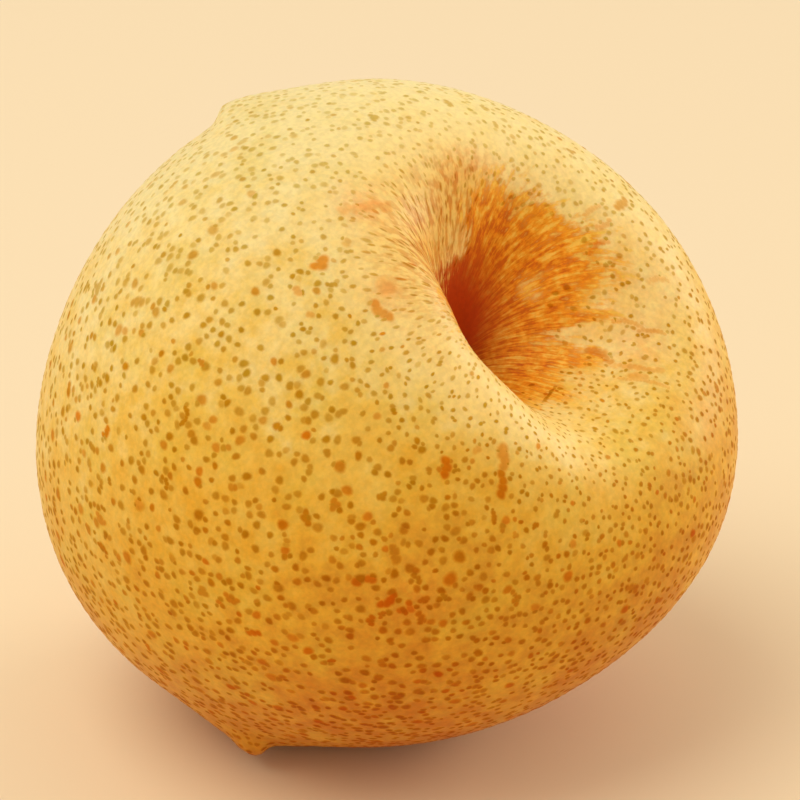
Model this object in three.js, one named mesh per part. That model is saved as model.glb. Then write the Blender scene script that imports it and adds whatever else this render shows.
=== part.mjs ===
// A yellow Asian pear lying on its side: one grown fruit, its woody stem stub and the dried calyx
// crown at the bottom of the calyx basin. Millimetres, +Z up, the table is the plane z = 0.
//
// Every shape here is one closed surface of two parameters: u runs from one pole to the other and
// theta runs round the axis. The fruit is worked out in its own frame, whose +Z axis points out of
// the calyx basin, and one group tilts that frame so that the basin looks forward and up.
import * as THREE from 'three';

// ---- driving dimensions of the body ----
const RADIUS = 40.5;              // half the width at the widest ring, before the terms below
const CALYX_FULLNESS = 0.08;      // how much wider the calyx half is than the stem half
const SHOULDER_FULLNESS = 0.135;  // how much squarer than an ellipse both ends are
const HALF_LENGTH = 39.7;         // half the length between the two poles, hollows left out
const STEM_STRETCH = 4.2;         // the stem end is longer by this, the calyx end shorter
const OVALNESS = 0.008;           // the widest ring is this much oval
const OVAL_TURN = degrees(-6);
const LEAN = 3.3;                 // sideways slip of the body per RADIUS of height
const LEAN_TURN = degrees(-31);
const LOBE_HEIGHT = 0.2;          // five faint ribs on the calyx half
const LOBE_TURN = degrees(10);
const UNEVENNESS = 0.22;          // slow swellings all over

// ---- calyx basin ----
const BASIN_DEPTH = 16.9;
const BASIN_RADIUS = 15.2;        // of the funnel on its gentle side
const BASIN_STEEP_RADIUS = 8.6;   // of the funnel under its steep lip
const STEEP_TURN = degrees(184);  // where the steep lip is
const STEEP_FOCUS = 2.4;          // higher keeps the steep lip narrower
const BASIN_FALL = 2.15;          // exponent of the fall: 2 is a bell, more is a flatter floor
const BASIN_SHIFT = [0.1, -1.0];  // basin centre from the calyx pole
const FURROW = 0.035;             // five furrows down the basin wall
const FURROW_TURN = degrees(-25);
const PIT_DEPTH = 4.5;            // narrow pit at the bottom, under the lip
const PIT_RADIUS = 4.2;
const PIT_SHIFT = 2.0;

// ---- stem cavity and stem ----
const CAVITY_DEPTH = 6.5;
const CAVITY_RADIUS = 8.0;
const STEM_LENGTH = 12.0;
const STEM_RADIUS = 1.5;
const STEM_FOOT_RADIUS = 1.9;
const STEM_KNOB_RADIUS = 2.3;
const STEM_FLARE = 0.35;          // share of its length over which foot and knob flare out
const STEM_BEND = 2.0;            // sideways sweep of its free end
const STEM_ROWS = 18;
const STEM_COLUMNS = 14;

// ---- calyx crown ----
const CROWN_RADIUS = 2.7;
const CROWN_THICKNESS = 0.6;
const CROWN_RIM = 0.6;            // share of the rows that lie on its upper side
const CROWN_ROWS = 12;
const CROWN_COLUMNS = 40;
const SEPALS = 5;
const SEPAL_HEIGHT = 1.4;
const SEPAL_ROOT = 0.35;          // the sepals rise from this share of the radius
const SEPAL_NOTCH = 0.28;         // how deep the notches between them cut in

// ---- how it lies ----
const TILT = degrees(43);         // the axis leans this far from upright, towards the front
const FLAT_DEPTH = 2.1;           // how far the table has pressed the lowest skin in
const FLAT_SOFTNESS = 0.7;        // height over which the flat spot rounds off
const SEAT_GAP = 0.35;            // clearance between the fruit and the pieces seated in it

// ---- three local swellings: where, which way, how high, how wide ----
// A bluntness of 1 gives a bell, and more gives a rounder top with steeper sides.
const SHOULDER_LUMP = {
  polar: degrees(69.5), turn: degrees(102), height: 1.5, bluntness: 1,
  steepReach: 1.5, longReach: 6.5, acrossReach: 6.0, longSide: [0.75, -0.49, 0.45],
};
const FOOT_LOBE = {
  polar: degrees(127.2), turn: degrees(230.9), height: 1.7, bluntness: 1,
  steepReach: 7.5, longReach: 6.0, acrossReach: 8.0, longSide: [-0.75, 0.49, -0.45],
};
const FLESHY_NUB = {
  polar: degrees(121.2), turn: degrees(231.6), height: 1.55, bluntness: 1.2,
  steepReach: 1.25, longReach: 3.1, acrossReach: 3.0, longSide: [-0.75, 0.49, -0.45],
};

const FRUIT_ROWS = 60;
const FRUIT_COLUMNS = 76;
const BASIN_CROWDING = 0.35;      // rings crowd towards the calyx basin
const NUB_CROWDING = 0.6;         // rings and columns crowd towards the fleshy nub
const NUB_CROWD_REACH = 0.3;      // within about this angle of it, in radians

function degrees(value) {
  return value * Math.PI / 180;
}

function clamp01(value) {
  return Math.min(Math.max(value, 0), 1);
}

function smoothRamp(value) {
  const t = clamp01(value);
  return t * t * (3 - 2 * t);
}

// One when the direction is at the chosen turn, falling smoothly to zero on the far side.
function facing(angle, turn, focus) {
  return (0.5 + 0.5 * Math.cos(angle - turn)) ** focus;
}

// Height of the body's outline at the cosine of the polar angle, hollows left out.
function outlineHeight(cosine) {
  return HALF_LENGTH * cosine - STEM_STRETCH * cosine * cosine;
}

// The body slips sideways in proportion to its height.
function leanAt(height) {
  const slip = LEAN * height / RADIUS;
  return [slip * Math.cos(LEAN_TURN), slip * Math.sin(LEAN_TURN)];
}

const CALYX_POLE = leanAt(outlineHeight(1));
const STEM_POLE = leanAt(outlineHeight(-1));
const BASIN_CENTRE = [CALYX_POLE[0] + BASIN_SHIFT[0], CALYX_POLE[1] + BASIN_SHIFT[1]];
const PIT_CENTRE = [
  BASIN_CENTRE[0] + PIT_SHIFT * Math.cos(STEEP_TURN),
  BASIN_CENTRE[1] + PIT_SHIFT * Math.sin(STEEP_TURN),
];

// How far the calyx basin sinks the skin at (x, y): a wide bell that is steep on one side and
// furrowed, plus the narrow pit.
function basinSink(x, y) {
  const dx = x - BASIN_CENTRE[0];
  const dy = y - BASIN_CENTRE[1];
  const angle = Math.atan2(dy, dx);
  const steep = facing(angle, STEEP_TURN, STEEP_FOCUS);
  const smooth = BASIN_RADIUS + (BASIN_STEEP_RADIUS - BASIN_RADIUS) * steep;
  const reach = smooth * (1 + FURROW * Math.cos(5 * (angle - FURROW_TURN)));
  const funnel = BASIN_DEPTH * Math.exp(-((Math.hypot(dx, dy) / reach) ** BASIN_FALL));
  const pitDistance = Math.hypot(x - PIT_CENTRE[0], y - PIT_CENTRE[1]);
  return funnel + PIT_DEPTH * Math.exp(-((pitDistance / PIT_RADIUS) ** 2));
}

// How far the stem cavity raises the skin at (x, y) on the stem half.
function cavityRise(x, y) {
  const distance = Math.hypot(x - STEM_POLE[0], y - STEM_POLE[1]);
  return CAVITY_DEPTH * Math.exp(-((distance / CAVITY_RADIUS) ** 2));
}

// The fruit's skin before the local swellings and the flat spot.
function plainSkin(polar, turn) {
  const sine = Math.sin(polar);
  const cosine = Math.cos(polar);
  const fullness = 1 + CALYX_FULLNESS * cosine + SHOULDER_FULLNESS * cosine * cosine;
  const oval = OVALNESS * Math.cos(2 * (turn - OVAL_TURN));
  const ribs = 2 * LOBE_HEIGHT * Math.cos(5 * (turn - LOBE_TURN)) * clamp01(cosine) * sine;
  const swell = UNEVENNESS * sine * (
    Math.sin(2 * turn + 3.1 * polar + 0.6) + 0.6 * Math.sin(3 * turn - 4.3 * polar + 2.2));
  const radius = (RADIUS + swell) * sine * (fullness + oval) + ribs * sine;
  const height = outlineHeight(cosine);
  const lean = leanAt(height);
  const x = radius * Math.cos(turn) + lean[0];
  const y = radius * Math.sin(turn) + lean[1];
  const sink = smoothRamp(3 * cosine) * basinSink(x, y);
  const rise = smoothRamp(-3 * cosine) * cavityRise(x, y);
  return new THREE.Vector3(x, y, height - sink + rise);
}

// A swelling is pushed out along the skin's own direction. Its reach is short on its steep side,
// long on the other, and acrossReach at right angles to both.
function swelling(lump) {
  const centre = plainSkin(lump.polar, lump.turn);
  const east = plainSkin(lump.polar, lump.turn + 0.02).sub(centre);
  const south = plainSkin(lump.polar + 0.02, lump.turn).sub(centre);
  const out = new THREE.Vector3().crossVectors(south, east).normalize();
  const along = new THREE.Vector3(...lump.longSide).projectOnPlane(out).normalize();
  const across = new THREE.Vector3().crossVectors(out, along);
  return (point) => {
    const offset = point.clone().sub(centre);
    const reach = offset.dot(along) > 0 ? lump.longReach : lump.steepReach;
    const depth = offset.dot(out) / lump.acrossReach;
    const squares = (offset.dot(along) / reach) ** 2
      + (offset.dot(across) / lump.acrossReach) ** 2 + depth * depth;
    return out.clone().multiplyScalar(lump.height * Math.exp(-(squares ** lump.bluntness)));
  };
}

const SWELLINGS = [SHOULDER_LUMP, FOOT_LOBE, FLESHY_NUB].map(swelling);

function skinPoint(polar, turn) {
  const point = plainSkin(polar, turn);
  const pushes = SWELLINGS.map((push) => push(point));
  pushes.forEach((push) => point.add(push));
  return point;
}

// Up, seen from the tilted frame of the fruit.
const UP = new THREE.Vector3(0, Math.sin(TILT), Math.cos(TILT));

// Height above the pressed-flat level: zero below it, unchanged well above it, and a parabola that
// joins the two smoothly.
function pressedFlat(height) {
  if (height <= -FLAT_SOFTNESS) return 0;
  if (height >= FLAT_SOFTNESS) return height;
  return (height + FLAT_SOFTNESS) ** 2 / (4 * FLAT_SOFTNESS);
}

// A closed surface with rows rings of columns points between two poles, faces outward.
function closedSurface(rows, columns, pointAt) {
  const positions = [];
  const push = (point) => positions.push(point.x, point.y, point.z);
  push(pointAt(0, 0));
  for (let row = 1; row < rows; row += 1) {
    for (let column = 0; column < columns; column += 1) {
      push(pointAt(row / rows, 2 * Math.PI * column / columns));
    }
  }
  push(pointAt(1, 0));

  const last = positions.length / 3 - 1;
  const at = (row, column) => 1 + (row - 1) * columns + (column % columns);
  const index = [];
  for (let column = 0; column < columns; column += 1) {
    index.push(0, at(1, column), at(1, column + 1));
    for (let row = 1; row < rows - 1; row += 1) {
      const a = at(row, column);
      const b = at(row, column + 1);
      const c = at(row + 1, column);
      const d = at(row + 1, column + 1);
      index.push(a, c, d, a, d, b);
    }
    index.push(last, at(rows - 1, column + 1), at(rows - 1, column));
  }
  const geometry = new THREE.BufferGeometry();
  geometry.setAttribute('position', new THREE.Float32BufferAttribute(positions, 3));
  geometry.setIndex(index);
  geometry.computeVertexNormals();
  return geometry;
}

// Rings crowd towards the calyx basin, where the skin curves most.
function polarAngle(u) {
  return Math.PI * (u + BASIN_CROWDING * (u * u - u));
}

// Moves even grid lines closer together round the nub, the smallest form on the skin. The lines at
// nought and at the whole stay where they are, and the nub keeps the middle of the crowd.
function crowded(angle, nub, whole) {
  const gain = NUB_CROWDING * NUB_CROWD_REACH;
  const spread = 1 + 2 * gain / whole;
  const middle = (nub + gain) / spread;
  return spread * angle - gain * (1 + Math.tanh((angle - middle) / NUB_CROWD_REACH));
}

function fruitGeometry() {
  const skin = closedSurface(
    FRUIT_ROWS,
    FRUIT_COLUMNS,
    (u, turn) => skinPoint(
      crowded(polarAngle(u), FLESHY_NUB.polar, Math.PI),
      crowded(turn, FLESHY_NUB.turn, 2 * Math.PI),
    ),
  );
  const positions = skin.getAttribute('position');
  const point = new THREE.Vector3();
  let lowest = Infinity;
  for (let i = 0; i < positions.count; i += 1) {
    lowest = Math.min(lowest, point.fromBufferAttribute(positions, i).dot(UP));
  }
  const level = lowest + FLAT_DEPTH;
  for (let i = 0; i < positions.count; i += 1) {
    point.fromBufferAttribute(positions, i);
    const height = point.dot(UP) - level;
    point.addScaledVector(UP, pressedFlat(height) - height);
    positions.setXYZ(i, point.x, point.y, point.z);
  }
  skin.computeVertexNormals();
  return { geometry: skin, level };
}

// The stem's radius from its foot (0) to its cut end (1): a flared foot, a slim shank, a knob.
function stemRadius(u) {
  const foot = (STEM_FOOT_RADIUS - STEM_RADIUS) * smoothRamp(1 - u / STEM_FLARE);
  const knob = (STEM_KNOB_RADIUS - STEM_RADIUS) * smoothRamp(1 - (1 - u) / STEM_FLARE);
  return STEM_RADIUS + foot + knob;
}

// The stem stub stands in the stem cavity and sweeps a little to one side.
function stemGeometry() {
  const footHeight = outlineHeight(-1) + CAVITY_DEPTH - SEAT_GAP;
  return closedSurface(STEM_ROWS, STEM_COLUMNS, (u, turn) => {
    const radius = stemRadius(u) * Math.min(1, STEM_ROWS * u, STEM_ROWS * (1 - u));
    return new THREE.Vector3(
      STEM_POLE[0] + radius * Math.cos(turn) + STEM_BEND * u * u,
      STEM_POLE[1] + radius * Math.sin(turn),
      footHeight - STEM_LENGTH * u,
    );
  });
}

// Height of the basin floor near its bottom.
function floorHeight(x, y) {
  const wide = RADIUS * (1 + CALYX_FULLNESS + SHOULDER_FULLNESS);
  const distance = Math.hypot(x - CALYX_POLE[0], y - CALYX_POLE[1]);
  const cosine = Math.sqrt(1 - (distance / wide) ** 2);
  return outlineHeight(cosine) - basinSink(x, y);
}

// The dried calyx crown lies in the pit. Its underside follows the floor, and round its rim the
// outline runs out into sepals that stand up.
function crownGeometry() {
  return closedSurface(CROWN_ROWS, CROWN_COLUMNS, (u, turn) => {
    const onTop = u < CROWN_RIM;
    const reach = onTop ? u / CROWN_RIM : (1 - u) / (1 - CROWN_RIM);
    const sepal = 0.5 + 0.5 * Math.cos(SEPALS * turn);
    const radius = reach * CROWN_RADIUS * (1 - SEPAL_NOTCH * (1 - sepal));
    const x = PIT_CENTRE[0] + radius * Math.cos(turn);
    const y = PIT_CENTRE[1] + radius * Math.sin(turn);
    const standing = SEPAL_HEIGHT * sepal * smoothRamp((reach - SEPAL_ROOT) / (1 - SEPAL_ROOT));
    const top = onTop ? CROWN_THICKNESS + standing : 0;
    return new THREE.Vector3(x, y, floorHeight(x, y) + SEAT_GAP + top);
  });
}

function namedMesh(name, geometry, look) {
  const mesh = new THREE.Mesh(geometry, new THREE.MeshStandardMaterial(look));
  mesh.name = name;
  return mesh;
}

const fruit = fruitGeometry();

const pear = new THREE.Group();
pear.add(namedMesh('fruit', fruit.geometry, { color: 0xe2a63c, roughness: 0.42, metalness: 0 }));
pear.add(namedMesh('stem', stemGeometry(), { color: 0x5d4028, roughness: 0.85, metalness: 0 }));
pear.add(namedMesh('calyx', crownGeometry(), { color: 0x4a2d1a, roughness: 0.9, metalness: 0 }));

// Tilt the fruit's frame, stand its flat spot on the table, and centre its box over the origin.
pear.rotation.x = TILT;
pear.position.z = -fruit.level;
const lying = new THREE.Group();
lying.add(pear);
lying.updateMatrixWorld(true);
const box = new THREE.Box3().setFromObject(lying, true);
pear.position.x = -(box.min.x + box.max.x) / 2;
pear.position.y = -(box.min.y + box.max.y) / 2;

export default lying;
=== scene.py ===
# %% [markdown]
# # A yellow Asian pear, lying on its side
#
# The fruit lies with its calyx basin turned forward and up. The basin is a deep funnel with a
# steep lip on its left, and a fan of orange-brown russet spreads up its far wall. Thousands of
# lenticels, the small corky breathing pores of the skin, freckle the whole fruit. A short woody
# stem stands in the hollow underneath, and the dried calyx sits at the bottom of the basin.
#
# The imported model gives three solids: fruit, stem and calyx. They are right in size and place but
# coarse, so each one is replaced here by a fine surface worked out from the same formulas.

# %% Load the fixed frame
import math

import bpy
import numpy as np
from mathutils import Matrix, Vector


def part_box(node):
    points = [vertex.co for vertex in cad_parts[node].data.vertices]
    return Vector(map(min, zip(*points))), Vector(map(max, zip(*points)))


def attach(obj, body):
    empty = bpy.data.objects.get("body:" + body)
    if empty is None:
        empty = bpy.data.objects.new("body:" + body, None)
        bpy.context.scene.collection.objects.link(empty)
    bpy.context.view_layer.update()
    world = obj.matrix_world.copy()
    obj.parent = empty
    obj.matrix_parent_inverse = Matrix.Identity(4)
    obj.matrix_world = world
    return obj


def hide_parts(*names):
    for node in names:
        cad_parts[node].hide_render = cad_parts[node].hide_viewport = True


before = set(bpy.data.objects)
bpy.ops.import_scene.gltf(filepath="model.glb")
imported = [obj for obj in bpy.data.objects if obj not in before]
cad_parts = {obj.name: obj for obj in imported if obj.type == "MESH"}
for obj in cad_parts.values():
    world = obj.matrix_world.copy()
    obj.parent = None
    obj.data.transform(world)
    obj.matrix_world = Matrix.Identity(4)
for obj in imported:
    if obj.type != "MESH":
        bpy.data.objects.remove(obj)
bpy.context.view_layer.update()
MM = 0.001  # lengths below are in millimetres, and Blender's are in metres

# %% [markdown]
# ## The camera
#
# A long lens from close above the table flattens the fruit a little and keeps its outline round.
# The camera looks along a fixed direction, and it is slid sideways until the middle of the fruit
# falls on the chosen pixel of an 800 by 800 picture. That needs no lens shift.


# %% Camera
def degrees(value):
    """An angle given in degrees, in the radians that the formulas use."""
    return math.radians(value)


def in_scene(name, data):
    """A new object of the scene that holds this camera, mesh or light."""
    thing = bpy.data.objects.new(name, data)
    bpy.context.scene.collection.objects.link(thing)
    return thing


CAMERA_TURN, CAMERA_RISE, CAMERA_DISTANCE = degrees(-41.5), degrees(23.5), 295 * MM
LENS, SENSOR, PICTURE = 108.0, 36.0, 800  # mm, mm, pixels
FRUIT_MIDDLE = Vector((-0.371, -0.381, 38.870)) * MM
FRUIT_MIDDLE_PIXEL = (379.6, 419.0)

camera_back = Vector(
    (
        math.sin(CAMERA_TURN) * math.cos(CAMERA_RISE),
        -math.cos(CAMERA_TURN) * math.cos(CAMERA_RISE),
        math.sin(CAMERA_RISE),
    )
)
camera_right = Vector((math.cos(CAMERA_TURN), math.sin(CAMERA_TURN), 0))
camera_up = camera_back.cross(camera_right)
focal_pixels = LENS / SENSOR * PICTURE
aim = (
    camera_right * (FRUIT_MIDDLE_PIXEL[0] - PICTURE / 2) / focal_pixels
    - camera_up * (FRUIT_MIDDLE_PIXEL[1] - PICTURE / 2) / focal_pixels
    - camera_back
).normalized()

camera = in_scene("camera", bpy.data.cameras.new("camera"))
camera.data.lens, camera.data.sensor_width = LENS, SENSOR
camera.data.clip_start, camera.data.clip_end = 0.01, 20  # metres
camera.location = FRUIT_MIDDLE - aim * CAMERA_DISTANCE
camera.rotation_mode = "QUATERNION"
camera.rotation_quaternion = (-camera_back).to_track_quat("-Z", "Y")
bpy.context.scene.camera = camera
print("camera at", tuple(round(v, 4) for v in camera.location))

# %% [markdown]
# ## The shape of the fruit
#
# A pear like this is a squat ball with square shoulders, a deep basin at the calyx end and a small
# cavity at the stem end. The skin is one function of two angles: `polar` runs from the calyx to the
# stem, and `turn` runs round the axis. numpy works it out for a whole grid at once. The fruit is
# drawn upright in its own frame, with the basin on top, and tilted onto the table afterwards.

# %% Driving dimensions, in millimetres
RADIUS, HALF_LENGTH, STEM_STRETCH = 40.5, 39.7, 4.2
CALYX_FULLNESS, SHOULDER_FULLNESS = 0.08, 0.135
OVALNESS, OVAL_TURN = 0.008, degrees(-6)
LEAN, LEAN_TURN = 3.3, degrees(-31)
LOBES, LOBE_HEIGHT, LOBE_TURN = 5, 0.2, degrees(10)
UNEVENNESS = 0.22
SWELLS = ((1.0, 2, 3.1, 0.6), (0.6, 3, -4.3, 2.2))  # strength, waves round, waves along, start
HOLLOW_ONSET = 3  # the two hollows begin at the equator and are whole where the cosine is 1 / 3

BASIN_DEPTH, BASIN_RADIUS, BASIN_STEEP_RADIUS = 16.9, 15.2, 8.6
STEEP_TURN, STEEP_FOCUS, BASIN_FALL = degrees(184), 2.4, 2.15
BASIN_SHIFT = np.array([0.1, -1.0])
FURROW, FURROW_TURN = 0.035, degrees(-25)
PIT_DEPTH, PIT_RADIUS, PIT_SHIFT = 4.5, 4.2, 2.0
CAVITY_DEPTH, CAVITY_RADIUS = 6.5, 8.0

TILT, FLAT_DEPTH, FLAT_SOFTNESS = degrees(43), 2.1, 0.7
SHOULDER_LUMP = dict(
    polar=degrees(69.5), turn=degrees(102), height=1.5, bluntness=1.0,
    steep_reach=1.5, long_reach=6.5, across_reach=6.0, long_side=(0.75, -0.49, 0.45),
)
FOOT_LOBE = dict(
    polar=degrees(127.2), turn=degrees(230.9), height=1.7, bluntness=1.0,
    steep_reach=7.5, long_reach=6.0, across_reach=8.0, long_side=(-0.75, 0.49, -0.45),
)
FLESHY_NUB = dict(
    polar=degrees(121.2), turn=degrees(231.6), height=1.55, bluntness=1.2,
    steep_reach=1.25, long_reach=3.1, across_reach=3.0, long_side=(-0.75, 0.49, -0.45),
)


# %% Small curves that the shapes share
def smooth_ramp(value):
    """Nought below 0, one above 1, and t*t*(3 - 2t) between."""
    t = np.clip(value, 0.0, 1.0)
    return t * t * (3 - 2 * t)


def bell(distance, reach, fall=2.0):
    """exp(-(distance / reach) ** fall): one in the middle, nearly nought two reaches away."""
    return np.exp(-((distance / reach) ** fall))


def facing(angle, turn, focus):
    """One where angle is turn, falling to nought on the far side, faster for a higher focus."""
    return (0.5 + 0.5 * np.cos(angle - turn)) ** focus


def way_round(offset):
    """How far away an offset (x, y) leads, and its turn."""
    return np.hypot(offset[..., 0], offset[..., 1]), np.arctan2(offset[..., 1], offset[..., 0])


def outline_height(cosine):
    """The body's height at the cosine of the polar angle: HALF_LENGTH * c - STEM_STRETCH * c * c."""
    return HALF_LENGTH * cosine - STEM_STRETCH * cosine * cosine


def lean_at(height):
    """The sideways slip of the body, in proportion to its height."""
    slip = LEAN * height / RADIUS
    return np.array([slip * np.cos(LEAN_TURN), slip * np.sin(LEAN_TURN)])


CALYX_POLE, STEM_POLE = lean_at(outline_height(1.0)), lean_at(outline_height(-1.0))
BASIN_CENTRE = CALYX_POLE + BASIN_SHIFT
PIT_CENTRE = BASIN_CENTRE + PIT_SHIFT * np.array([np.cos(STEEP_TURN), np.sin(STEEP_TURN)])
print("pit centre in the fruit's frame:", PIT_CENTRE.round(2))


# %% The skin before anything presses on it
def basin_sink(x, y):
    """A wide bell, narrower towards STEEP_TURN and furrowed five times, plus the narrow pit."""
    dx, dy = x - BASIN_CENTRE[0], y - BASIN_CENTRE[1]
    angle = np.arctan2(dy, dx)
    steepness = facing(angle, STEEP_TURN, STEEP_FOCUS)
    reach = BASIN_RADIUS + (BASIN_STEEP_RADIUS - BASIN_RADIUS) * steepness
    reach = reach * (1 + FURROW * np.cos(LOBES * (angle - FURROW_TURN)))
    pit = bell(np.hypot(x - PIT_CENTRE[0], y - PIT_CENTRE[1]), PIT_RADIUS)
    return BASIN_DEPTH * bell(np.hypot(dx, dy), reach, BASIN_FALL) + PIT_DEPTH * pit


def plain_skin(polar, turn):
    """x, y = radius(polar) round the leaning axis; z = outline height - basin + stem cavity."""
    sine, cosine = np.sin(polar), np.cos(polar)
    fullness = 1 + CALYX_FULLNESS * cosine + SHOULDER_FULLNESS * cosine**2
    fullness = fullness + OVALNESS * np.cos(2 * (turn - OVAL_TURN))
    ribs = 2 * LOBE_HEIGHT * np.cos(LOBES * (turn - LOBE_TURN)) * np.clip(cosine, 0, 1) * sine
    swell = sum(size * np.sin(waves * turn + slant * polar + start) for size, waves, slant, start in SWELLS)
    radius = (RADIUS + UNEVENNESS * sine * swell) * sine * fullness + ribs * sine
    height = outline_height(cosine)
    lean_x, lean_y = lean_at(height)
    x, y = radius * np.cos(turn) + lean_x, radius * np.sin(turn) + lean_y
    cavity = CAVITY_DEPTH * bell(np.hypot(x - STEM_POLE[0], y - STEM_POLE[1]), CAVITY_RADIUS)
    basin = smooth_ramp(HOLLOW_ONSET * cosine) * basin_sink(x, y)
    z = height - basin + smooth_ramp(-HOLLOW_ONSET * cosine) * cavity
    return np.stack(np.broadcast_arrays(x, y, z), axis=-1)


SMALL_ANGLE = 0.02  # radians, to feel which way the skin slopes


def swelling(points, lump):
    """Pushes points out along the skin's direction at the lump: height * exp(-squares), where each
    square is a distance over its reach, and the reach is short on the lump's steep side."""
    centre = plain_skin(lump["polar"], lump["turn"])
    east = plain_skin(lump["polar"], lump["turn"] + SMALL_ANGLE) - centre
    south = plain_skin(lump["polar"] + SMALL_ANGLE, lump["turn"]) - centre
    out = np.cross(south, east)
    out /= np.linalg.norm(out)
    along = np.array(lump["long_side"]) - np.dot(lump["long_side"], out) * out
    along /= np.linalg.norm(along)
    offset = points - centre
    reach = np.where(offset @ along > 0, lump["long_reach"], lump["steep_reach"])
    wide = lump["across_reach"]
    squares = (offset @ along / reach) ** 2 + (offset @ np.cross(out, along) / wide) ** 2
    squares += (offset @ out / wide) ** 2
    return out * (lump["height"] * np.exp(-(squares ** lump["bluntness"])))[..., None]


def skin_point(polar, turn):
    """The plain skin with its shoulder lump, and the lobe and nub that it rests on."""
    points = plain_skin(polar, turn)
    return points + sum(swelling(points, lump) for lump in (SHOULDER_LUMP, FOOT_LOBE, FLESHY_NUB))


# %% Lying on the table
# the room's directions backwards and upwards, as the tilted fruit's own frame sees them
BACK, UP = np.array([0.0, math.cos(TILT), -math.sin(TILT)]), np.array([0.0, math.sin(TILT), math.cos(TILT)])
AXES = np.stack([[1.0, 0, 0], BACK, UP], axis=1)


def pressed_flat(points, level, sag=0.0):
    """Heights above level stay, those below become 0 (less sag), and a parabola joins the two."""
    height = points @ UP - level
    soft = (height + FLAT_SOFTNESS) ** 2 / (4 * FLAT_SOFTNESS)
    pressed = np.where(height <= -FLAT_SOFTNESS, 0, np.where(height >= FLAT_SOFTNESS, height, soft))
    pressed = pressed - sag * smooth_ramp(-height / FLAT_SOFTNESS)
    return points + UP * (pressed - height)[..., None]


# %% [markdown]
# ## Meshes from whole arrays
#
# Every closed piece is a grid: `rows` rings of `columns` points between two poles. The faces are the
# same for any such grid, so one helper builds them all, with quads between rings and a fan of
# triangles at each pole. It gives the piece a map of its own, OFBake, unrolled like a world map, so
# that a picture of its colours wastes nothing.


# %% Grid helpers
def mesh_object(name, points, faces, corner_uv):
    """A mesh from points in mm, a list of index arrays, each for faces of one kind, and one map
    position for each corner of each face."""
    mesh = bpy.data.meshes.new(name)
    corners = np.concatenate([f.ravel() for f in faces]).astype(np.int32)
    sizes = np.concatenate([np.full(len(f), f.shape[1]) for f in faces]).astype(np.int32)
    mesh.vertices.add(len(points))
    mesh.vertices.foreach_set("co", (points * MM).astype(np.float32).ravel())
    mesh.loops.add(len(corners))
    mesh.loops.foreach_set("vertex_index", corners)
    mesh.polygons.add(len(sizes))
    mesh.polygons.foreach_set("loop_start", np.concatenate([[0], np.cumsum(sizes)[:-1]]).astype(np.int32))
    mesh.polygons.foreach_set("use_smooth", np.ones(len(sizes), bool))
    mesh.update(calc_edges=True)
    mesh.validate()
    uv = mesh.uv_layers.new(name="OFBake")
    uv.data.foreach_set("uv", corner_uv.astype(np.float32).ravel())
    piece = in_scene(name, mesh)
    print(f"{name}: {len(points)} points, {int((sizes - 2).sum())} triangles")
    return piece


def places(*corners):
    """Map positions from one (u, v) pair of arrays for each corner of a face, face by face."""
    return np.stack([np.stack(corner, axis=1) for corner in corners], axis=1).reshape(-1, 2)


def closed_grid(rows, columns):
    """Shares of the way (u, row by row) and round (v) for rings between two poles, and the faces.
    Returns u, v as an angle, the quads and the triangles, and each corner's place on the map."""
    u = np.concatenate([[0.0], np.repeat(np.arange(1, rows) / rows, columns), [1.0]])
    v = np.concatenate([[0.0], np.tile(np.arange(columns) / columns, rows - 1), [0.0]])
    column = np.arange(columns)
    right = (column + 1) % columns
    last = len(u) - 1
    ring = last - columns
    first_fan = np.stack([np.zeros_like(column), 1 + column, 1 + right], axis=1)
    last_fan = np.stack([np.full_like(column, last), ring + right, ring + column], axis=1)
    start = 1 + columns * np.arange(rows - 2)[:, None]
    below = start + columns
    quads = np.stack([start + column, below + column, below + right, start + right], axis=-1)

    west, east, row = column / columns, (column + 1) / columns, 1 / rows
    middle, nought, one = (west + east) / 2, np.zeros(columns), np.ones(columns)
    first_uv = places((middle, nought), (west, nought + row), (east, nought + row))
    last_uv = places((middle, one), (east, one - row), (west, one - row))
    top = np.repeat(np.arange(1, rows - 1) / rows, columns)
    west, east = np.tile(west, rows - 2), np.tile(east, rows - 2)
    quad_uv = places((west, top), (west, top + row), (east, top + row), (east, top))
    faces = [quads.reshape(-1, 4), np.concatenate([first_fan, last_fan])]
    return u, v * 2 * np.pi, faces, np.concatenate([quad_uv, first_uv, last_uv])


def point_values(piece, name, values):
    """Stores one number or one triple for each point, under a name that a material can read."""
    kind, field = ("FLOAT", "value") if values.ndim == 1 else ("FLOAT_VECTOR", "vector")
    layer = piece.data.attributes.new(name, kind, "POINT")
    layer.data.foreach_set(field, values.astype(np.float32).ravel())


# %% [markdown]
# ## The fruit
#
# The grid is crowded towards the basin and the nub, where the skin bends most. Its box is then laid
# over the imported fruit's own box, which fixes where the fruit's frame stands in the room. Every
# other piece uses the same frame, so nothing is fitted by eye.

# %% Fruit
SKIN_ROWS, SKIN_COLUMNS, ROW_CROWDING, COLUMN_CROWDING = 290, 340, 0.35, 0.35
u, v, skin_faces, skin_uv = closed_grid(SKIN_ROWS, SKIN_COLUMNS)
skin_polar = np.pi * (u + ROW_CROWDING * (u * u - u))
skin_turn = v - COLUMN_CROWDING * np.sin(v - FLESHY_NUB["turn"])
skin_points = skin_point(skin_polar, skin_turn)
TABLE_LEVEL = (skin_points @ UP).min() + FLAT_DEPTH
skin_room = pressed_flat(skin_points, TABLE_LEVEL) @ AXES

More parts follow.
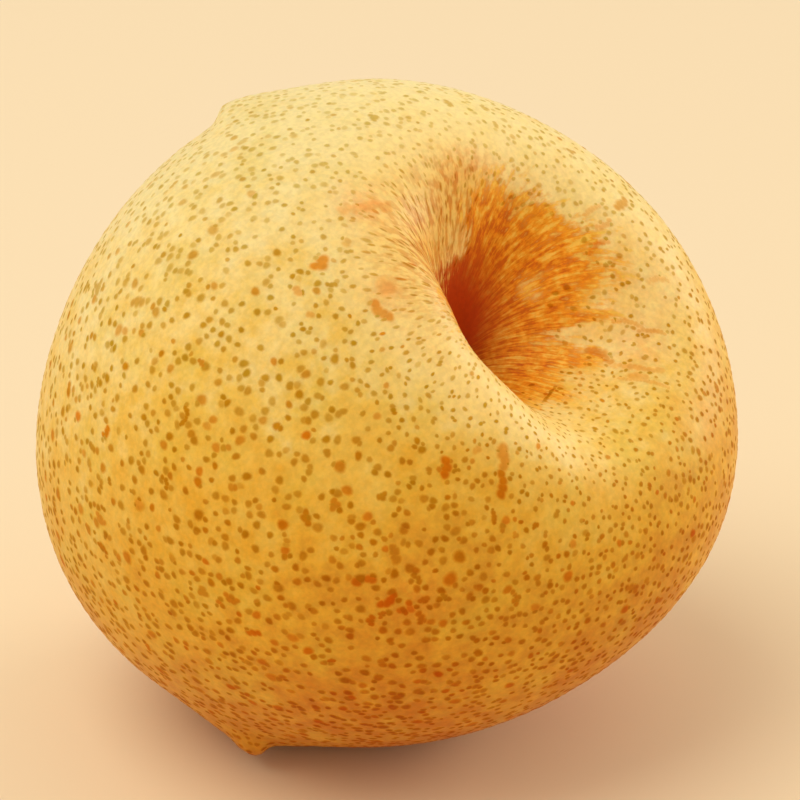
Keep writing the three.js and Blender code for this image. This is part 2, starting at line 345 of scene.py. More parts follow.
box_low, box_high = (np.array(corner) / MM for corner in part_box("fruit"))
fine_low, fine_high = skin_room.min(axis=0), skin_room.max(axis=0)
FRAME_SHIFT = (box_low + box_high) / 2 - (fine_low + fine_high) / 2
FRAME_SHIFT[2] = box_low[2] - fine_low[2]
print("the fruit's frame stands at", FRAME_SHIFT.round(3), "mm")


def in_room(points):
    """Points of the fruit's own frame, tilted and set on the table, in millimetres."""
    return points @ AXES + FRAME_SHIFT


fruit = mesh_object("fruit_skin", skin_room + FRAME_SHIFT, skin_faces, skin_uv)
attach(fruit, "root")
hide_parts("fruit")


# %% [markdown]
# ## What the skin's pattern follows
#
# Four things vary over the skin, and each is worked out at every point and stored there:
# - `fan`: how many millimetres inside the russet fan a point lies. The fan reaches far up the wall
#   on one side and hardly at all on the other.
# - `around`: the direction from the axis and the distance, so that a noise can be drawn out into
#   streaks that run towards the middle of the basin. On one side the streaks are swept round a
#   little, as if stirred, so the direction is turned there in step with the distance.
# - `tints_and_highlight`: how thickly thin brown streaks lie on the wall beside the fan, how much a blush
#   of pink warms the skin at a few places, and how strongly a painted cream highlight lies on the crest of
#   the basin's rim.
# - `ripeness_and_light`: nought where the skin is pale yellow, one where it is deep gold. It follows the
#   side that faces up, so it is partly ripeness and partly painted light: pale where light falls from
#   above, deep towards the shaded underside. The basin's rim is a paler band, wider on one side, also
#   partly painted light.


# %% Pattern values
# the fan's outline: how far it reaches from the pit, in mm, at each turn in degrees
FAN_TURNS = np.radians([0, 6, 16, 26, 43, 56, 66, 75, 80, 87, 95, 108, 125, 150, 160, 184, 205, 240,
                        280, 297, 310, 318, 325, 331, 337, 342, 348, 352, 355, 358])
FAN_REACH = np.array([15.4, 16.6, 18.4, 19.0, 18.9, 18.9, 18.3, 16.8, 13.4, 10.8, 9.8, 9.8, 9.8, 10.2, 9.8,
                      8.6, 8.6, 8.0, 9.0, 11.0, 10.6, 12.0, 14.2, 14.0, 12.4, 10.8, 11.4, 15.8, 16.8, 14.6])
STEM_FAN_REACH = 7.5
CALYX_HALF_RAMP = 10.0  # the basin's pattern fades in over these mm above the fruit's middle
# how far a streak turns for each mm, towards which side, and the rings where that begins and ends
SWIRL, SWIRL_TURN, SWIRL_FOCUS, SWIRL_RING, SWIRL_END = degrees(2.4), degrees(335), 2.0, 14.0, 26.0
# turn in degrees, how narrow in turn, ring and reach in mm, strength
WISPS = [(116, 5, 13.0, 6.0, 1.0), (77, 60, 17.5, 3.6, 0.9), (340, 6, 20.0, 4.0, 0.12)]
# polar and turn in degrees, reach in mm, strength
BLUSHES = [(26.1, 131.6, 3.2, 0.9), (23.0, 165.0, 2.2, 0.6), (56.5, 224.5, 4.2, 0.8),
           (21.2, 329.0, 3.6, 0.6), (26.0, 350.0, 4.2, 0.35), (21.5, 86.0, 2.6, 0.45),
           (22.5, 74.0, 2.4, 0.45), (10.5, 20.0, 2.4, 0.5)]
BLUSH_GAIN = 1.3
# gaps in the fan: polar and turn in degrees, reach in mm, and by how many mm its edge draws back
THIN_SPOTS = [(10.5, 22.0, 2.6, 7.5), (12.7, 85.0, 1.7, 6.5), (11.3, 88.0, 1.0, 5.0)]
# painted shade: on this side of the basin the russet is painted darker, where the near lip keeps it in
# shadow
SHADED_SIDE = (math.cos(degrees(80)), math.sin(degrees(80)))  # the side of the basin that stays in shadow
# the paler skin lies towards this side, which faces up on the table, so it is partly painted light from
# above
PALE_LIT_SIDE = np.array([-0.01, 0.91, 0.42])  # towards the basin's far shoulder
PALE_LIT_SIDE = PALE_LIT_SIDE / np.linalg.norm(PALE_LIT_SIDE)
# the pale rim, partly painted light, ends at a ring that swings out on its wide side, and is weaker on one
# side
WIDE_TURN, LESS_PALE_TURN, LESS_PALE_FOCUS = degrees(40), degrees(297), 8.0
RIM_END, RIM_END_SWING, RIM_SOFTNESS = 29.0, 5.5, 12.0
RIM_PALENESS, LESS_PALE_LOSS = 0.6, 0.5
# its painted cream highlight on the crest: ring, reach and strength, each with its swing towards the wide
# side
CREST_RING, CREST_RING_SWING = 19.0, 4.2
CREST_REACH, CREST_REACH_SWING = 6.0, 1.5
HIGHLIGHT_CREAMINESS, HIGHLIGHT_CREAMINESS_SWING = 0.76, -0.24


def round_axis(points):
    """Distance from the line that joins the pit to the foot of the stem, and the turn round it."""
    share = (points[..., 2:] - outline_height(-1.0)) / (outline_height(1.0) - outline_height(-1.0))
    offset = points[..., :2] - (STEM_POLE + (PIT_CENTRE - STEM_POLE) * np.clip(share, 0, 1))
    return way_round(offset)


def swirl_at(turn, distance):
    """How far a streak is turned: SWIRL for each mm beyond SWIRL_RING, near SWIRL_TURN alone."""
    return SWIRL * facing(turn, SWIRL_TURN, SWIRL_FOCUS) * (np.minimum(distance, SWIRL_END) - SWIRL_RING)


def near_spot(points, polar, turn, reach):
    """A bell round the place on the skin with these angles in degrees."""
    spot = plain_skin(degrees(polar), degrees(turn))
    return bell(np.linalg.norm(points - spot, axis=-1), reach)


def pattern(points):
    """The four pattern values at points of the fruit's frame."""
    calyx_half = smooth_ramp(points[..., 2] / CALYX_HALF_RAMP)
    pit_distance, pit_turn = way_round(points[..., :2] - PIT_CENTRE)
    swept = pit_turn + swirl_at(pit_turn, pit_distance)
    calyx_fan = np.interp(swept, FAN_TURNS, FAN_REACH, period=2 * np.pi) - pit_distance
    for *spot, wear in THIN_SPOTS:
        calyx_fan = calyx_fan - wear * near_spot(points, *spot)
    distance, turn = round_axis(points)
    fan = np.where(points[..., 2] > 0, calyx_fan, STEM_FAN_REACH - distance)
    turn = turn + calyx_half * swirl_at(turn, distance)
    around = np.stack([np.cos(turn), np.sin(turn), distance], axis=-1)

    wide = np.cos(pit_turn - WIDE_TURN)
    less_pale = facing(pit_turn, LESS_PALE_TURN, LESS_PALE_FOCUS)
    # painted light: the basin's rim, which faces up, is paler, less so on one side
    pale_lit_rim = smooth_ramp((RIM_END + RIM_END_SWING * wide - pit_distance) / RIM_SOFTNESS) * calyx_half
    direction = points / np.linalg.norm(points, axis=-1, keepdims=True)
    # paler towards the upward side and on the rim, deeper towards the underside: partly ripeness, partly
    # painted light and shade
    ripeness_and_light = (0.5 - 0.5 * direction @ PALE_LIT_SIDE) * (1 - RIM_PALENESS * pale_lit_rim * (1 - LESS_PALE_LOSS * less_pale))
    from_crest = pit_distance - CREST_RING - CREST_RING_SWING * wide
    crest_highlight = bell(from_crest, CREST_REACH + CREST_REACH_SWING * wide)
    # painted highlight: cream on the rim's crest, where light falls on it
    cream_highlight = calyx_half * crest_highlight * (1 - less_pale) * (HIGHLIGHT_CREAMINESS + HIGHLIGHT_CREAMINESS_SWING * wide)
    wisps = calyx_half * sum(
        strength * facing(pit_turn, degrees(turn), narrow) * bell(pit_distance - ring, reach)
        for turn, narrow, ring, reach, strength in WISPS
    )
    blush = sum(strength * near_spot(points, *spot) for *spot, strength in BLUSHES)
    tints_and_highlight = np.stack([np.minimum(wisps, 1.0), np.minimum(BLUSH_GAIN * blush, 1.0), cream_highlight], axis=-1)
    return fan, around, ripeness_and_light, tints_and_highlight


def store_pattern(piece, points):
    """Stores the four pattern values, worked out at these points, on the piece."""
    for name, values in zip(("fan", "around", "ripeness_and_light", "tints_and_highlight"), pattern(points)):
        point_values(piece, name, values)


store_pattern(fruit, skin_points)
print("pattern stored at", len(skin_points), "points of", fruit.name)

# %% [markdown]
# ## Where the lenticels go
#
# A seed head packs its seeds evenly by turning each one by the golden angle. The same spiral, spread
# over the skin's real area, gives even candidates. Each one is then moved a little at random, and
# some are dropped: few on the basin's rim, many on the broad cheek, where growth has drawn the pores
# apart and widened them.

# %% Candidates on the skin
SEED, CANDIDATES, JITTER = 41, 15500, 0.30  # jitter is a share of the spacing
GOLDEN_ANGLE = np.pi * (3 - np.sqrt(5))
AREA_RINGS, AREA_TURNS = 400, 72
AREA_EDGE, DOT_EDGE = 0.004, 0.02  # radians that both keep off the poles
rng = np.random.default_rng(SEED)


def skin_steps(polar, turn, step=1e-3):
    """How far the skin moves for one radian of polar and of turn, by central differences."""
    by_polar = (skin_point(polar + step, turn) - skin_point(polar - step, turn)) / (2 * step)
    by_turn = (skin_point(polar, turn + step) - skin_point(polar, turn - step)) / (2 * step)
    return by_polar, by_turn


ring_polar = np.linspace(AREA_EDGE, np.pi - AREA_EDGE, AREA_RINGS)
ring_turn = np.linspace(0, 2 * np.pi, AREA_TURNS, endpoint=False)
ring_area = np.linalg.norm(np.cross(*skin_steps(ring_polar[:, None], ring_turn[None, :])), axis=-1)
area_so_far = np.cumsum(ring_area.mean(axis=1))
skin_area = ring_area.mean() * 2 * np.pi * np.pi
print("skin area in square mm:", round(skin_area))

number = np.arange(CANDIDATES)
dot_polar = np.interp((number + 0.5) / CANDIDATES, area_so_far / area_so_far[-1], ring_polar)
dot_turn = (number * GOLDEN_ANGLE) % (2 * np.pi)
by_polar, by_turn = skin_steps(dot_polar, dot_turn)
local_area = np.linalg.norm(np.cross(by_polar, by_turn), axis=-1)
ring_mean = np.interp(dot_polar, ring_polar, ring_area.mean(axis=1))
spacing = np.sqrt(skin_area / CANDIDATES)
dot_polar = dot_polar + rng.normal(0, JITTER, CANDIDATES) * spacing / np.linalg.norm(by_polar, axis=-1)
dot_turn = dot_turn + rng.normal(0, JITTER, CANDIDATES) * spacing / np.linalg.norm(by_turn, axis=-1)
dot_polar = np.clip(dot_polar, DOT_EDGE, np.pi - DOT_EDGE)

# %% Where a candidate lies: cheek, front, rim and the walls of the basin
CHEEK_TURN, CHEEK_POLAR, CHEEK_REACH = degrees(185), degrees(84), degrees(50)
CHEEK_FOCUS, CHEEK_GAIN = 3.0, 1.5
FRONT_TURN, FRONT_FOCUS, WALL_TURN, WALL_FOCUS = degrees(235), 2.0, degrees(122), 5.0
DOT_RIM, DOT_RIM_SOFTNESS, WALL_END, WALL_SOFTNESS, WALL_LEAST = 30.0, 10, 24.0, 12, 0.10
dot_points = skin_point(dot_polar, dot_turn)
fan, _, ripeness_and_light, _ = pattern(dot_points)
axis_distance, radial = round_axis(dot_points)
calyx_side = dot_points[:, 2] > 0
cheek = facing(dot_turn, CHEEK_TURN, CHEEK_FOCUS) * bell(dot_polar - CHEEK_POLAR, CHEEK_REACH)
cheek = smooth_ramp(cheek * CHEEK_GAIN)
front = facing(dot_turn, FRONT_TURN, FRONT_FOCUS)
pit_distance, _ = way_round(dot_points[:, :2] - PIT_CENTRE)
rim = smooth_ramp((DOT_RIM - pit_distance) / DOT_RIM_SOFTNESS) * calyx_side
wall = WALL_LEAST + facing(radial, WALL_TURN, WALL_FOCUS)
drawn_out = smooth_ramp((WALL_END - axis_distance) / WALL_SOFTNESS) * calyx_side * wall
radial = radial - SWIRL * axis_distance * facing(radial, SWIRL_TURN, SWIRL_FOCUS) * calyx_side

# %% Keep, size and stretch
KEPT, KEPT_IN_FRONT, KEPT_ON_CHEEK, KEPT_ON_RIM = 0.60, 0.24, -0.20, 0.15  # shares of the candidates
FAN_OVERLAP, FAN_RAGGED = 1.5, 1.0  # how many mm the lenticels reach into the fan
DOT_RADIUS, ON_CHEEK, ON_RIM, RADIUS_SPREAD = 0.36, 0.10, -0.05, 0.16  # mm, more, less, and a share
BIG_SHARE, BIG_ELSEWHERE, BIG_GROWTH = 0.06, 0.3, (1.2, 1.5)
STRETCH_SPREAD, WALL_STRETCH = 0.25, 4.2
keep_share = KEPT + KEPT_IN_FRONT * front + KEPT_ON_CHEEK * cheek + KEPT_ON_RIM * rim * front
keep_share = keep_share * local_area / ring_mean
keep = (rng.random(CANDIDATES) < keep_share) & (fan < FAN_OVERLAP + rng.normal(0, FAN_RAGGED, CANDIDATES))
dot_radius = DOT_RADIUS + ON_CHEEK * cheek + ON_RIM * rim * (1 + front)
dot_radius = dot_radius * np.exp(rng.normal(0, RADIUS_SPREAD, CANDIDATES))
big = rng.random(CANDIDATES) < BIG_SHARE * (BIG_ELSEWHERE + cheek)
dot_radius = np.where(big, dot_radius * rng.uniform(*BIG_GROWTH, CANDIDATES), dot_radius)
stretch = 1 + STRETCH_SPREAD * rng.random(CANDIDATES) + WALL_STRETCH * drawn_out
print("lenticels kept:", int(keep.sum()), "of", CANDIDATES)

# %% [markdown]
# ## Lenticels as low corky domes
#
# A pore is a thin raised disc with an uneven edge, 0.5 to 1.2 mm across and a few hundredths of a
# millimetre high. Each one is a centre point and two rings. The outer ring is sunk just under the
# skin, so the dome grows out of it with no gap. Points are placed on the skin's own formula, so a
# dome bends with the lip of the basin. Every dome has a cell of its own on the map.


# %% Steps on the skin
def skin_frame(polar, turn, heading):
    """Three directions at points of the skin: along a heading, across it, and straight out."""
    normal = np.cross(*skin_steps(polar, turn))
    normal /= np.linalg.norm(normal, axis=-1, keepdims=True)
    along = heading - (heading * normal).sum(-1, keepdims=True) * normal
    along /= np.linalg.norm(along, axis=-1, keepdims=True)
    return along, np.cross(normal, along), normal


def walk(polar, turn, offset):
    """The angles of a point a small offset away: the offset is shared between the two slopes."""
    by_polar, by_turn = skin_steps(polar, turn)
    pp, tt, pt = (by_polar**2).sum(-1), (by_turn**2).sum(-1), (by_polar * by_turn).sum(-1)
    on_p, on_t = (offset * by_polar).sum(-1), (offset * by_turn).sum(-1)
    scale = pp * tt - pt**2
    return polar + (on_p * tt - on_t * pt) / scale, turn + (on_t * pp - on_p * pt) / scale


# %% Dome helper
WOBBLES = (0.07, 0.08, 0.06)  # how uneven a dome's edge is, in one, two and three waves round it
EDGE_SUNK, CELL_SHARE = 0.012, 0.42  # mm under the skin, and a dome's reach in its cell of the map


def domes(name, polar, turn, half_length, half_width, heading, sectors, rings, lift, tone):
    """Discs with an uneven edge. A point's place is centre + radius(angle) * share along heading and
    across it, turned into angle steps by the skin's own slopes, and lifted by a round profile.
    tone holds tint, strength and a spare random number for each disc. Returns the object."""
    count = len(polar)
    angle = 2 * np.pi * np.arange(sectors) / sectors
    phase = rng.uniform(0, 2 * np.pi, (3, count, 1))
    wobble = 1.0
    for waves, size, start in zip((1, 2, 3), WOBBLES, phase):
        wobble = wobble + size * np.cos(waves * angle - start)
    shares = np.arange(1, rings + 1) / rings
    east = half_length[:, None, None] * shares[:, None] * (wobble * np.cos(angle))[:, None, :]
    side = half_width[:, None, None] * shares[:, None] * (wobble * np.sin(angle))[:, None, :]
    middle = np.zeros((count, 1))
    east, side = (np.concatenate([middle, part.reshape(count, -1)], axis=1) for part in (east, side))
    disc_share = np.concatenate([[0.0], np.repeat(shares, sectors)])
    share = disc_share[None, :] * np.ones((count, 1))

    along, across, _ = skin_frame(polar, turn, heading)
    offset = along[:, None] * east[..., None] + across[:, None] * side[..., None]
    new_polar, new_turn = walk(polar[:, None], turn[:, None], offset)
    base = skin_point(new_polar, new_turn)
    normal = skin_frame(new_polar, new_turn, UP)[2]
    dome = lift[:, None] * (1 - share**2) - EDGE_SUNK * share**4
    points = base + normal * dome[..., None]
    room = in_room(pressed_flat(points, TABLE_LEVEL, sag=EDGE_SUNK))

    stride = 1 + sectors * rings
    sector = np.arange(sectors)
    nxt = (sector + 1) % sectors
    fan_faces = np.stack([np.zeros_like(sector), 1 + sector, 1 + nxt], 1)
    inner = 1 + sectors * np.arange(rings - 1)[:, None]
    outer = inner + sectors
    quads = np.stack([inner + sector, outer + sector, outer + nxt, inner + nxt], -1)
    shift = stride * np.arange(count)[:, None, None]
    fan_faces, quads = (fan_faces + shift).reshape(-1, 3), (quads.reshape(-1, 4) + shift).reshape(-1, 4)

    side_cells = int(np.ceil(np.sqrt(count)))
    cell = np.stack([np.arange(count) % side_cells, np.arange(count) // side_cells], 1)
    disc_angle = np.concatenate([[0], np.tile(angle, rings)])
    disc = disc_share[:, None] * np.stack([np.cos(disc_angle), np.sin(disc_angle)], -1)
    uv = ((cell[:, None] + 0.5 + CELL_SHARE * disc) / side_cells).reshape(-1, 2)
    corners = np.concatenate([quads.ravel(), fan_faces.ravel()])
    piece = mesh_object(name, room.reshape(-1, 3), [quads, fan_faces], uv[corners])
    store_pattern(piece, points.reshape(-1, 3))
    point_values(piece, "share", share.ravel())
    point_values(piece, "tone", np.repeat(tone, stride, axis=0))
    return piece


# %% Broad and fine lenticels
BROAD_FROM = 0.42  # mm of radius
SLOPE_DOWN = 0.35  # of a heading, towards the stem
LAY_ON_WALL, LAY_ELSEWHERE, ON_WALL = 0.10, 1.6, 0.08  # swing about the radial way, in radians
DISC_SPREAD = 1.26  # the outer ring lies beyond the visible edge, where the cork has faded
LOW_LIFT, LIFT_WITH_RADIUS, DOT_RINGS = 0.03, 0.03, 2
TINT, TINT_RIPE, TINT_WALL, TINT_BIG, TINT_SPREAD = 0.02, 0.50, 0.3, 0.35, 0.14
STRENGTH, STRENGTH_RIPE, STRENGTH_SPREAD, WEAKEST, STRONGEST = 0.50, 1.30, 0.12, 0.3, 0.86


def heading_of(turns):
    """Directions away from the basin's middle at these turns, sloping down towards the stem."""
    return np.stack([np.cos(turns), np.sin(turns), np.full(len(turns), -SLOPE_DOWN)], axis=-1)


tint = TINT + TINT_RIPE * ripeness_and_light + TINT_WALL * drawn_out + TINT_BIG * big
tint = np.clip(tint + np.abs(rng.normal(0, TINT_SPREAD, CANDIDATES)), 0, 1)
strength = np.clip(STRENGTH + STRENGTH_RIPE * ripeness_and_light, 0, STRONGEST)
strength = np.clip(strength + rng.normal(0, STRENGTH_SPREAD, CANDIDATES), WEAKEST, 1)
broad = keep & (dot_radius > BROAD_FROM)
fine = keep & ~broad
dots = {}
for name, chosen, sectors in (("lenticels_broad", broad, 11), ("lenticels_fine", fine, 8)):
    pick = np.flatnonzero(chosen)
    count, shape = len(pick), np.sqrt(stretch[pick])
    lay = np.where(drawn_out[pick] > ON_WALL, LAY_ON_WALL, LAY_ELSEWHERE)
    dots[name] = domes(
        name,
        dot_polar[pick],
        dot_turn[pick],
        dot_radius[pick] * shape * DISC_SPREAD,
        dot_radius[pick] / shape * DISC_SPREAD,
        heading_of(radial[pick] + rng.normal(0, 1, count) * lay),
        sectors,
        DOT_RINGS,
        LOW_LIFT + LIFT_WITH_RADIUS * dot_radius[pick],
        np.stack([tint[pick], strength[pick], rng.random(count)], axis=-1),
    )
for piece in dots.values():
    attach(piece, "root")

# %% [markdown]
# ## Russet marks
#
# Here and there pores have run together into an orange bean, a comma or a short squiggle. Each mark
# is a chain of domes that overlap along a bent line, so its outline is as lumpy as the real one's.
# The larger ones have places of their own, and small squiggles are scattered at random. A long
# stroke fades towards its ends.

# %% Marks
# polar, turn (degrees), half length, half width (mm), swing from the radial way (degrees), bend,
# tint, strength
NAMED_MARKS = np.array([
    (31.9, 153.8, 1.4, 0.85, 52, 0.12, 0.9, 0.9), (30.6, 160.2, 0.8, 0.42, -14, 0, 0.35, 0.9),
    (24.6, 171, 1.75, 0.75, -58, 0.25, 0.8, 0.8), (35.7, 160.6, 0.9, 0.6, -60, 0.1, 0.9, 0.6),
    (27.8, 147, 0.75, 0.55, 80, 0, 0.6, 0.45), (34.9, 167, 0.65, 0.5, -16, 0, 0.85, 0.5),
    (33.7, 215.8, 1.5, 0.8, 8, 0.12, 0.85, 1), (33.2, 218.4, 0.6, 0.32, -38, 0, 0.2, 0.9),
    (28.2, 228.6, 1.8, 0.84, 16, 0.05, 0.8, 0.75), (32.1, 230.6, 1.8, 0.72, 16, 0.05, 0.7, 1),
    (28.7, 220.6, 0.7, 0.55, -66, 0, 0.8, 0.5), (58.4, 221, 1.4, 0.6, -16, 0.2, 0.92, 1),
    (58.9, 224.6, 0.8, 0.5, 80, 0, 0.6, 1), (55.3, 226.2, 0.85, 0.48, -42, 0.1, 0.5, 0.9),
    (59.1, 227.6, 1.05, 0.5, 24, 0.2, 0.55, 0.9), (52.2, 223.2, 0.8, 0.42, 84, 0.05, 0.45, 0.9),
    (53.5, 229.2, 0.75, 0.4, 46, 0.1, 0.3, 0.9), (56.3, 216.4, 0.9, 0.74, -58, 0, 0.92, 0.9),
    (51.5, 269.4, 1.3, 0.55, 66, 0.1, 0.6, 0.7), (61.4, 174.8, 0.95, 0.4, 88, 0.3, 0.4, 1),
    (62.7, 176, 0.75, 0.38, 0, 0.1, 0.4, 1), (72.5, 182.2, 1, 0.4, 88, 0.35, 0.4, 1),
    (80.4, 209.2, 1.2, 0.6, -26, 0.1, 0.88, 1), (80.8, 169, 1.15, 0.55, 5, 0.15, 0.8, 1),
    (21.1, 312.4, 1.5, 0.75, 0, 0.1, 0.85, 0.45), (12, 287.5, 1.9, 0.3, -76, -0.1, 0.15, 1),
    (20.1, 12.6, 1.8, 0.4, -6, 0.2, 0.9, 0.6), (29.8, 18.8, 1.8, 0.7, -2, -0.1, 0.65, 0.75),
    (23.3, 334.2, 1.9, 0.38, -10, 0.1, 0.7, 0.6), (19.9, 338.8, 2.1, 0.4, -18, 0.1, 0.75, 0.6),
    (16, 324.4, 2.3, 0.66, -30, 0.1, 0.8, 0.72), (21.1, 318.2, 3.3, 0.52, -12, -0.08, 0.8, 0.52),
    (22.2, 310.8, 3.2, 0.34, -8, 0.05, 0.85, 0.45), (23.3, 18.2, 1.4, 0.45, -14, -0.2, 0.9, 0.5),
    (26.1, 131.6, 3.6, 0.8, 40, 0.05, 0.95, 0.4), (23, 163, 1.4, 0.9, -20, 0.1, 0.95, 0.3),
    (24, 24.2, 1.6, 0.45, -16, 0.1, 0.9, 0.4), (26.5, 352, 1.8, 0.4, -8, 0.15, 0.9, 0.3),
])
SQUIGGLES = 110
SQUIGGLE_LENGTH, SQUIGGLE_WIDTH, SQUIGGLE_BEND, SQUIGGLE_TINT = (1.6, 2.5), 1.05, 0.45, 0.15
MOST_RIM = 0.4
off_rim = keep & (rim < MOST_RIM) & ~big
pick = rng.choice(np.flatnonzero(off_rim), SQUIGGLES, replace=False)
squiggles = np.stack(
    [
        np.degrees(dot_polar[pick]),
        np.degrees(dot_turn[pick]),
        dot_radius[pick] * rng.uniform(*SQUIGGLE_LENGTH, SQUIGGLES),
        dot_radius[pick] * SQUIGGLE_WIDTH,
        rng.uniform(-90, 90, SQUIGGLES),
        rng.uniform(-SQUIGGLE_BEND, SQUIGGLE_BEND, SQUIGGLES),
        np.clip(tint[pick] + SQUIGGLE_TINT, 0, 1),
        strength[pick],
    ],
    axis=-1,
)

# %% Marks as chains of domes
LINKS_PER_WIDTH, FEWEST_LINKS, MOST_LINKS = 1.7, 2, 18
LEAST_SPAN, STRAY, TAPER, LINK_WIDTHS = 0.3, 0.12, 0.15, (0.9, 1.15)  # shares of a mark's half width
STROKE_SHAPE, STROKE_FADE = 3, 0.35  # a stroke is over 3 times longer than wide, and its ends fade
LINK_SPREAD, MARK_LIFT, MARK_SECTORS, MARK_RINGS = 1.2, 0.05, 18, 3
table = np.concatenate([NAMED_MARKS, squiggles])
links = np.clip(np.round(LINKS_PER_WIDTH * table[:, 2] / table[:, 3]), FEWEST_LINKS, MOST_LINKS).astype(int)
mark = np.repeat(np.arange(len(table)), links)
step = np.arange(len(mark)) - np.repeat(np.cumsum(links) - links, links)
way = 2 * step / (links[mark] - 1) - 1  # from -1 at one end of a mark to 1 at the other
polar, turn, half_length, half_width, swing, bend, mark_tint, mark_strength = table[mark].T
polar, turn, swing = np.radians(polar), np.radians(turn), np.radians(swing)
heading = heading_of(round_axis(skin_point(polar, turn))[1] + swing)
along, across, _ = skin_frame(polar, turn, heading)
span = way * np.maximum(half_length - half_width, LEAST_SPAN * half_width)
bow = bend * half_length * (1 - way**2) + STRAY * half_width * rng.normal(0, 1, len(mark))
polar, turn = walk(polar, turn, along * span[:, None] + across * bow[:, None])
width = half_width * (1 - TAPER * way**2) * rng.uniform(*LINK_WIDTHS, len(mark)) * LINK_SPREAD
fade = 1 - STROKE_FADE * smooth_ramp(half_length / half_width / STROKE_SHAPE - 1) * way**2
tones = np.stack([mark_tint, mark_strength * fade, rng.random(len(mark))], axis=-1)
lift = np.full(len(mark), MARK_LIFT)
marks = domes("russet_marks", polar, turn, width, width, heading, MARK_SECTORS, MARK_RINGS, lift, tones)
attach(marks, "root")

# %% [markdown]
# ## The stem
#
# The stem is a short woody stub: a flared foot that grows out of the flesh, a slim shank with
# lengthwise fibres, and a knob where it broke from the spur. Its profile is carried along a path
# that sweeps to one side. The foot is sunk in the flesh, so no gap shows.

# %% Stem
STEM_ROWS, STEM_COLUMNS = 120, 72
STEM_LENGTH, STEM_RADIUS, STEM_FOOT_RADIUS, STEM_KNOB_RADIUS = 12.0, 1.5, 1.9, 2.3
STEM_FLARE, STEM_BEND, SEAT_GAP = 0.35, 2.0, 0.35
STEM_SUNK = 1.4  # how deep the foot goes into the flesh
FIBRES = ((0.045, 9, 2.0, 0), (0.03, 17, -3, 1), (0.02, 29, 0, 0))  # mm high, waves round, twist, start
KNOT_HEIGHT, KNOT_WAVES, KNOT_SLANT, CUT_DISH = 0.10, 11, 1.7, 0.35
FOOT_CLOSES, CUT_CLOSES = 40, 14  # the first 1 / 40 and the last 1 / 14 of the way close the two ends
u, v, stem_faces, stem_uv = closed_grid(STEM_ROWS, STEM_COLUMNS)
way = u * (1 + STEM_SUNK / STEM_LENGTH) - STEM_SUNK / STEM_LENGTH  # nought at the flesh, one at the cut
foot = (STEM_FOOT_RADIUS - STEM_RADIUS) * smooth_ramp(1 - way / STEM_FLARE)
knob = (STEM_KNOB_RADIUS - STEM_RADIUS) * smooth_ramp(1 - (1 - way) / STEM_FLARE)
fibres = sum(size * np.cos(waves * v + twist * way + start) for size, waves, twist, start in FIBRES)
knots = KNOT_HEIGHT * np.sin(KNOT_WAVES * way + KNOT_SLANT * np.cos(v)) * smooth_ramp(3 * way)
cut = np.clip((1 - u) * CUT_CLOSES, 0, 1)  # shrinks the last rows into the cut face
radius = (STEM_RADIUS + foot + knob + fibres + knots) * np.sqrt(1 - (1 - cut) ** 2)
radius = radius * np.clip(u * FOOT_CLOSES, 0, 1)
stem_x = STEM_POLE[0] + radius * np.cos(v) + STEM_BEND * np.clip(way, 0, 1) ** 2
stem_y = STEM_POLE[1] + radius * np.sin(v)
stem_z = outline_height(-1.0) + CAVITY_DEPTH - SEAT_GAP - STEM_LENGTH * way + CUT_DISH * (1 - cut) ** 2
stem_points = np.stack([stem_x, stem_y, stem_z], axis=-1)
stem = mesh_object("stem_wood", in_room(stem_points), stem_faces, stem_uv)
point_values(stem, "along", np.stack([np.cos(v), np.sin(v), way], axis=-1))
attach(stem, "root")
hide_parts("stem")

# %% [markdown]
# ## The dried calyx
#
# At the bottom of the basin the five sepals of the flower have dried into a dark brown star round a
# corky disc, with a tuft of withered stamens. The star is one closed surface: its underside follows
# the floor a little below the skin, and its rim rises into five crinkled tips.

# %% Calyx star
CROWN_ROWS, CROWN_COLUMNS = 70, 200
CROWN_RADIUS, CROWN_THICKNESS, CROWN_RIM = 2.7, 0.6, 0.6  # mm, mm, and the top's share of the rows
SEPALS, SEPAL_HEIGHT, SEPAL_ROOT, SEPAL_NOTCH, SEPAL_BLUNTNESS = 5, 1.4, 0.35, 0.28, 0.7
CRINKLES = ((0.10, 23, 5), (0.06, 41, -9))  # size, waves round, and how they slant
EDGE_CRINKLE, RIDGE_HEIGHT, RIDGE_FOCUS, UNDERSIDE = 0.4, 0.18, 6, 0.25


def floor_height(x, y):
    """Height of the basin floor near its bottom."""
    wide = RADIUS * (1 + CALYX_FULLNESS + SHOULDER_FULLNESS)
    away = np.hypot(x - CALYX_POLE[0], y - CALYX_POLE[1])
    return outline_height(np.sqrt(1 - (away / wide) ** 2)) - basin_sink(x, y)


u, v, crown_faces, crown_uv = closed_grid(CROWN_ROWS, CROWN_COLUMNS)
on_top = u < CROWN_RIM
reach = np.where(on_top, u / CROWN_RIM, (1 - u) / (1 - CROWN_RIM))
sepal = 0.5 + 0.5 * np.cos(SEPALS * v)
crinkle = sum(size * np.sin(waves * v + slant * reach) for size, waves, slant in CRINKLES)
notch = SEPAL_NOTCH * (1 - sepal**SEPAL_BLUNTNESS)
radius = reach * CROWN_RADIUS * (1 - notch + EDGE_CRINKLE * crinkle * reach)
x, y = PIT_CENTRE[0] + radius * np.cos(v), PIT_CENTRE[1] + radius * np.sin(v)
standing = SEPAL_HEIGHT * sepal * smooth_ramp((reach - SEPAL_ROOT) / (1 - SEPAL_ROOT))
ridge = RIDGE_HEIGHT * sepal**RIDGE_FOCUS * np.sin(np.pi * reach)
top = np.where(on_top, CROWN_THICKNESS + ridge + crinkle * reach, -UNDERSIDE * (1 - reach))
z = floor_height(x, y) + top + standing * np.where(on_top, 1, reach**3)
crown = mesh_object("calyx_star", in_room(np.stack([x, y, z], axis=-1)), crown_faces, crown_uv)
point_values(crown, "along", np.stack([np.cos(v), np.sin(v), reach], axis=-1))

